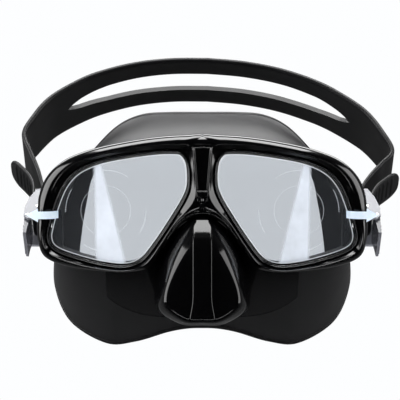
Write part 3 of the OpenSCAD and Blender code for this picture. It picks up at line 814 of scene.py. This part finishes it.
# The polished area is the least of four ramps: above the lobes' fourth-power curve, inside the lobes, in front
# of the sealing edge and below the brow. Everywhere else the etched mould leaves a satin.
etch = add(tree, "ShaderNodeTexNoise", {"Vector": (where, "Object"), "Scale": 3000.0, "Detail": 2.0})
cloud = add(tree, "ShaderNodeTexNoise", {"Vector": (where, "Object"), "Scale": 70.0, "Detail": 3.0})
made = {}
for name, operation, *terms in (
    ("across", "ABSOLUTE", (axes, "X")),
    ("share", "MULTIPLY", "across", 1 / (48 * mm)),
    ("curve", "POWER", "share", 4.0),
    ("lobe_top", "MULTIPLY_ADD", "curve", 12 * mm, -55.5 * mm),
    ("over_lobe", "SUBTRACT", (axes, "Z"), "lobe_top"),
    ("above", "MULTIPLY", "over_lobe", 1 / (0.8 * mm)),
    ("inside_lobe", "SUBTRACT", 47.5 * mm, "across"),
    ("inner", "MULTIPLY", "inside_lobe", 1 / (0.8 * mm)),
    ("before_seal", "SUBTRACT", -4 * mm, (axes, "Y")),
    ("front_side", "MULTIPLY", "before_seal", 1 / (2 * mm)),
    ("under_brow", "SUBTRACT", 5 * mm, (axes, "Z")),
    ("below_brow", "MULTIPLY", "under_brow", 1 / (2 * mm)),
    ("across_least", "MINIMUM", "above", "inner"),
    ("deep_least", "MINIMUM", "front_side", "below_brow"),
    ("least", "MINIMUM", "across_least", "deep_least"),
    ("least_above", "MAXIMUM", "least", 0.0),
    ("polished", "MINIMUM", "least_above", 1.0),
    ("satin", "MULTIPLY_ADD", cloud, 0.08, 0.38),
    ("gloss", "MULTIPLY_ADD", cloud, 0.06, 0.07),
    ("etched", "SUBTRACT", 1.0, "polished"),
    ("etch_part", "MULTIPLY", etch, "etched"),
    ("etch_height", "MULTIPLY", "etch_part", 0.35),
    ("relief", "MULTIPLY_ADD", "polished", -1.5, "etch_height"),
):
    inputs = {k: made.get(term, term) for k, term in enumerate(terms)}
    made[name] = add(tree, "ShaderNodeMath", inputs, operation=operation)
sheen = add(tree, "ShaderNodeMix", {"Factor": made["polished"], 2: made["satin"], 3: made["gloss"]})
tree.links.new(sheen.outputs[0], shader.inputs["Roughness"])
tone = add(tree, "ShaderNodeMix", {
    "Factor": made["polished"], 6: linear("#131315"), 7: linear("#050506"),
}, data_type="RGBA")
tree.links.new(tone.outputs[2], shader.inputs["Base Color"])
dent = add(tree, "ShaderNodeBump", {"Height": made["relief"], "Strength": 0.6, "Distance": 0.00016})
tree.links.new(dent.outputs["Normal"], shader.inputs["Normal"])
skirt.data.materials.append(silicone)
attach(skirt, "mask")
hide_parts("skirt")

# ------------------------------------------------------------------------------------------------
# Brackets, swivels and buckles
# Each side has a bracket in the frame, a steel swivel pin on a thin washer, and a smoke polycarbonate buckle
# that turns on it. In the buckle run a steel roller and a spring lever whose pawl presses on the strap.
strap_angle = math.radians(52)
pivot_y = -26.0
pivot_z = -14.0
spring_at = (86.0, 4.6)


def on_buckle(x, u, v, side):
    """Buckle place (mm) to metres: x outwards, u along the strap from the pin, v across, turned up by its angle."""
    x, u, v = np.broadcast_arrays(*(np.asarray(a, float) for a in (x, u, v)))
    return np.stack([
        x * side,
        pivot_y + u * math.cos(strap_angle) - v * math.sin(strap_angle),
        pivot_z + u * math.sin(strap_angle) + v * math.cos(strap_angle),
    ], -1) * mm


def finished_copy(node, name, radius):
    """The CAD node's shape with its flats merged and its edges rounded, as a moulded or turned part has."""
    source = frame["nodes"][node]
    work = bmesh.new()
    work.from_mesh(source.data)
    bmesh.ops.remove_doubles(work, verts=work.verts, dist=0.004 * mm)
    bmesh.ops.dissolve_limit(work, angle_limit=math.radians(1), verts=work.verts, edges=work.edges)
    mesh = bpy.data.meshes.new(name)
    work.to_mesh(mesh)
    work.free()
    made = bpy.data.objects.new(name, mesh)
    scene.collection.objects.link(made)
    mesh.shade_smooth()
    mesh.set_sharp_from_angle(angle=math.radians(30))
    bevel = made.modifiers.new("rounded", "BEVEL")
    bevel.width = radius * mm
    bevel.segments = 3
    bevel.limit_method = "ANGLE"
    bevel.angle_limit = math.radians(32)
    bevel.use_clamp_overlap = True
    bevel.harden_normals = True
    return made


def steel(name, rough, scale):
    """Stainless steel: brushed or tumbled, so the roughness wanders along fine scratches."""
    made, nodes, surface = principled(name, Base_Color=linear("#c6c7ca"), Metallic=1.0)
    where = add(nodes, "ShaderNodeTexCoord")
    stretch = add(nodes, "ShaderNodeMapping", {"Vector": (where, "Object"), "Scale": (0.15, 1.0, 1.0)})
    scratch = add(nodes, "ShaderNodeTexNoise", {"Vector": (stretch, "Vector"), "Scale": scale, "Detail": 4.0})
    band = add(nodes, "ShaderNodeMapRange", {"Value": (scratch, "Fac"), "To Min": rough * 0.7, "To Max": rough * 1.5})
    relief = add(nodes, "ShaderNodeBump", {"Height": (scratch, "Fac"), "Strength": 0.15, "Distance": 0.00003})
    nodes.links.new(band.outputs["Result"], surface.inputs["Roughness"])
    nodes.links.new(relief.outputs["Normal"], surface.inputs["Normal"])
    return made


def smoke(name, colour, clearness, rough):
    """Tinted polycarbonate: light passes a little way in, and the moulding grain breaks up the gloss."""
    made, nodes, surface = principled(
        name, Base_Color=linear(colour), IOR=1.58, Transmission_Weight=clearness, Roughness=rough,
    )
    grain = add(nodes, "ShaderNodeTexNoise", {
        "Vector": (add(nodes, "ShaderNodeTexCoord"), "Object"), "Scale": 1500.0, "Detail": 3.0,
    })
    sheen = add(nodes, "ShaderNodeMapRange", {"Value": (grain, "Fac"), "To Min": rough * 0.7, "To Max": rough * 1.4})
    relief = add(nodes, "ShaderNodeBump", {"Height": (grain, "Fac"), "Strength": 0.15, "Distance": 0.00006})
    nodes.links.new(sheen.outputs["Result"], surface.inputs["Roughness"])
    nodes.links.new(relief.outputs["Normal"], surface.inputs["Normal"])
    return made


def spring_coil(name, side):
    """A wire carried along a helix round the lever pin, with a circular section and closed ends."""
    turns, radius, wire, length = 6.5, 1.08, 0.22, 3.7
    a = np.linspace(0, 2 * np.pi * turns, 220)
    section = np.linspace(0, 2 * np.pi, 8, endpoint=False)
    r = radius + wire * np.cos(section)[None, :]
    v = ((a / a[-1] - 0.5) * length)[:, None] + wire * np.sin(section)[None, :]
    grid = on_buckle(spring_at[0] + r * np.cos(a)[:, None], spring_at[1] + r * np.sin(a)[:, None], v, side)
    faces = grid_faces(*grid.shape[:2], close_rows=False).tolist()
    last = (len(a) - 1) * len(section)
    faces += [list(range(len(section))), list(range(last, last + len(section)))]
    return piece(name, grid, faces, crease=60)


smoke_clear = smoke("polycarbonate_smoke", "#9a9ca4", 0.35, 0.18)
smoke_dark = smoke("polycarbonate_smoke_dark", "#6b6c73", 0.25, 0.2)
turned_steel = steel("stainless_steel_turned", 0.22, 1400.0)
spring_steel = steel("stainless_spring_wire", 0.16, 2600.0)
nylon, tree, shader = principled("nylon_black_satin", Base_Color=linear("#16161a"), IOR=1.53, Roughness=0.35)
grain = add(tree, "ShaderNodeTexNoise", {
    "Vector": (add(tree, "ShaderNodeTexCoord"), "Object"), "Scale": 1800.0, "Detail": 2.0,
})
dent = add(tree, "ShaderNodeBump", {"Height": (grain, "Fac"), "Strength": 0.3, "Distance": 0.00006})
tree.links.new(dent.outputs["Normal"], shader.inputs["Normal"])
hardware = [
    ("side_bracket", "bracket", smoke_dark, "smoke_plastic", 0.3),
    ("swivel_washer", "washer", nylon, "lever_plastic", 0.06),
    ("swivel_pin", "swivel", turned_steel, "pin_steel", 0.15),
    ("buckle_body", "buckle", smoke_clear, "smoke_plastic", 0.28),
    ("roller", "strap_roller", turned_steel, "pin_steel", 0.15),
    ("roller_pin", "roller_axle", turned_steel, "pin_steel", 0.12),
    ("release_lever", "lever", smoke_dark, "lever_plastic", 0.2),
    ("lever_pin", "lever_axle", turned_steel, "pin_steel", 0.12),
]
bodies = frame["record"]["behaviour"]["bodies"]
body_of_node = {node: body for body, members in bodies.items() for node in members}
for word, side in (("left", 1), ("right", -1)):
    for node, name, paint, slot, radius in hardware:
        made = finished_copy(f"{word}_{node}", f"{word}_{name}", radius)
        made.data.materials.append(paint)
        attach(made, body_of_node[f"{word}_{node}"])
        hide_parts(f"{word}_{node}")
    coil = spring_coil(f"{word}_torsion_spring", side)
    coil.data.materials.append(spring_steel)
    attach(coil, body_of_node[f"{word}_lever_spring"])
    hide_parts(f"{word}_lever_spring")

# ------------------------------------------------------------------------------------------------
# Strap
# One silicone strap, thin where it turns round the rollers and thicker at the back, where it splits into two
# bands. It is moulded flat with full round edges; ribs across its tails give the pawls something to bite.
roller_x = 81.3
roller_u = 10.0
turn_radius = 2.55
inner_x = roller_x - turn_radius
outer_x = roller_x + turn_radius
strap_lean = 2.8
strap_droop = 4.4
strap_thin = 1.6
strap_thick = 2.8
loop_points = np.array([
    [inner_x, 16], [inner_x + 0.7, 23], [inner_x + 4.4, 32], [inner_x + 9.6, 41], [93, 50], [88.5, 61],
    [80.5, 73], [68, 83.5], [56, 90.8], [38, 97.9], [19, 101.8], [0, 103],
])
tail_points = {
    1: [[15, 34.5], [11.6, 32], [7.8, 28.8], [3.8, 25], [0.9, 20], [0, 15], [0, 10.1]],
    -1: [[12.6, 43], [9.2, 39.2], [5.5, 35], [2.3, 30.6], [0.5, 25.5], [0, 19], [0, 10.1]],
}
rib_pitch = 3.0
rib_height = 0.6
rib_first = 5.0
rib_run = (4.2, 20)
rib_share = 0.72
end_half = 9.8
tip_half = 3.2
tip_length = 7.5
width_along = ([16, 26, 48, 72, 90], [end_half, end_half, 13.25, 15.9, 16.7])
slit_along = ([0, 2, 4.5, 12, 19], [0, 2.0, 3.5, 5.67, 6.3])
slit_start = 79


def half_route(side):
    """Middle line of one half, from its tail round the roller and along the loop to the middle, in buckle places."""
    tail = smooth_path(np.array(tail_points[side]) + [outer_x, 0], 16)
    a = np.radians(np.arange(-6, -180, -6))
    turn = np.stack([roller_x + turn_radius * np.cos(a), roller_u + turn_radius * np.sin(a)], 1)
    free = side * np.clip((loop_points[:, 1] - 23) / 27, 0, 1)
    lean = np.stack([strap_lean * free, -strap_droop * free * loop_points[:, 0] / 80], 1)
    loop = smooth_path(loop_points + lean, 14)
    return tail, np.vstack([turn, [[inner_x, roller_u]], [[inner_x, 13]]]), loop


def make_strap():
    """Sections of a rounded band, split down its middle where the slit is open, carried along the route."""
    rows = []
    for side in (1, -1):
        tail, turn, loop = half_route(side)
        path = np.vstack([tail, turn, loop])
        step = np.linalg.norm(np.diff(path, axis=0), axis=1)
        run = np.concatenate([[0], np.cumsum(step)])
        keep = np.concatenate([[True], step > 1e-6])
        path, run = path[keep], run[keep]
        fine = np.concatenate([np.arange(0, 30, 0.3), np.arange(30, run[-1], 0.9), [run[-1]]])
        path = np.stack([np.interp(fine, run, path[:, k]) for k in (0, 1)], 1)
        on_loop = fine > run[len(tail) + len(turn)]
        u = path[:, 1]
        width = np.where(on_loop, np.interp(u, *width_along), end_half)
        end = np.clip(fine / tip_length, 0, 1)
        rounded = tip_half + (width - tip_half) * np.sqrt(1 - (1 - end) ** 2.2)
        width = np.where(fine < tip_length, rounded, width)
        past_tip = u - (slit_start - side * strap_droop)
        slit = np.where(on_loop, np.interp(past_tip, *slit_along), 0)
        thick = np.where(on_loop, strap_thin + (strap_thick - strap_thin) * np.clip((u - 16) / 45, 0, 1), strap_thin)
        wave = np.cos(2 * np.pi * (fine - rib_first) / rib_pitch)
        rib = np.clip(wave * 3 - 1.4, 0, 1) * (fine > rib_run[0]) * (fine < rib_run[1])
        rows.append((side, path, width, slit, thick, rib))
    left, right = rows
    place = np.vstack([left[1], (right[1] * [-1, 1])[::-1][1:]])
    width, slit, thick, rib = (np.concatenate([left[k], right[k][::-1][1:]]) for k in (2, 3, 4, 5))
    tangent = np.gradient(place, axis=0)
    tangent /= np.linalg.norm(tangent, axis=1, keepdims=True)
    normal = np.stack([-tangent[:, 1], tangent[:, 0]], 1)
    h = thick / 2
    shares = np.linspace(0, 1, 9)
    turn = np.linspace(0, np.pi, 9)[1:-1]
    flat_end = np.maximum(width - h, slit + 0.05)
    inner = slit[:, None] + (flat_end - slit)[:, None] * shares[None, :]
    round_v = flat_end[:, None] + h[:, None] * np.sin(turn)[None, :]
    v = np.hstack([inner, round_v, inner[:, ::-1]])
    n = np.hstack([np.ones_like(inner), np.cos(turn)[None, :] + 0 * round_v, -np.ones_like(inner)]) * h[:, None]
    across = np.clip((width[:, None] * rib_share - v) / 0.6, 0, 1)
    n = n + np.where(n > 0.9 * h[:, None], rib_height, 0) * across * rib[:, None]
    grids = []
    for sign in (1, -1):
        x = place[:, :1] + normal[:, :1] * n
        u = place[:, 1:] + normal[:, 1:] * n
        grids.append(on_buckle(x, u, sign * v, 1))
    rows_count, columns = v.shape
    top = grid_faces(rows_count, columns, close_rows=False, close_columns=False)
    low = top[:, ::-1] + rows_count * columns
    faces = np.vstack([top, low]).tolist()
    open_part = (slit[:-1] > 0) | (slit[1:] > 0)
    i = np.nonzero(open_part)[0]
    a, b = i * columns, (i + 1) * columns
    wall = np.stack([a, a + columns - 1, b + columns - 1, b], 1)
    faces += wall.tolist() + (wall[:, ::-1] + rows_count * columns).tolist()
    for row in (0, rows_count - 1):
        for base in (0, rows_count * columns):
            faces.append((row * columns + base + np.arange(columns)).tolist())
    return piece("head_strap", np.concatenate([g.reshape(-1, 3) for g in grids]), faces, crease=50, weld=1e-6)


strap = make_strap()
strap_rubber, tree, shader = principled(
    "silicone_strap_black", IOR=1.43, Specular_IOR_Level=0.5
)
where = add(tree, "ShaderNodeTexCoord")
dust = add(tree, "ShaderNodeTexNoise", {
    "Vector": (where, "Object"), "Scale": 110.0, "Detail": 6.0, "Roughness": 0.65,
})
sheen = add(tree, "ShaderNodeMapRange", {"Value": (dust, "Fac"), "To Min": 0.36, "To Max": 0.5})
tone = add(tree, "ShaderNodeMix", {
    "Factor": (dust, "Fac"), 6: linear("#0e0e10"), 7: linear("#161618"),
}, data_type="RGBA")
etch = add(tree, "ShaderNodeTexNoise", {"Vector": (where, "Object"), "Scale": 2600.0, "Detail": 2.0})
dent = add(tree, "ShaderNodeBump", {"Height": (etch, "Fac"), "Strength": 0.25, "Distance": 0.00006})
tree.links.new(sheen.outputs["Result"], shader.inputs["Roughness"])
tree.links.new(tone.outputs[2], shader.inputs["Base Color"])
tree.links.new(dent.outputs["Normal"], shader.inputs["Normal"])
strap.data.materials.append(strap_rubber)
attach(strap, "strap")
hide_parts("strap")
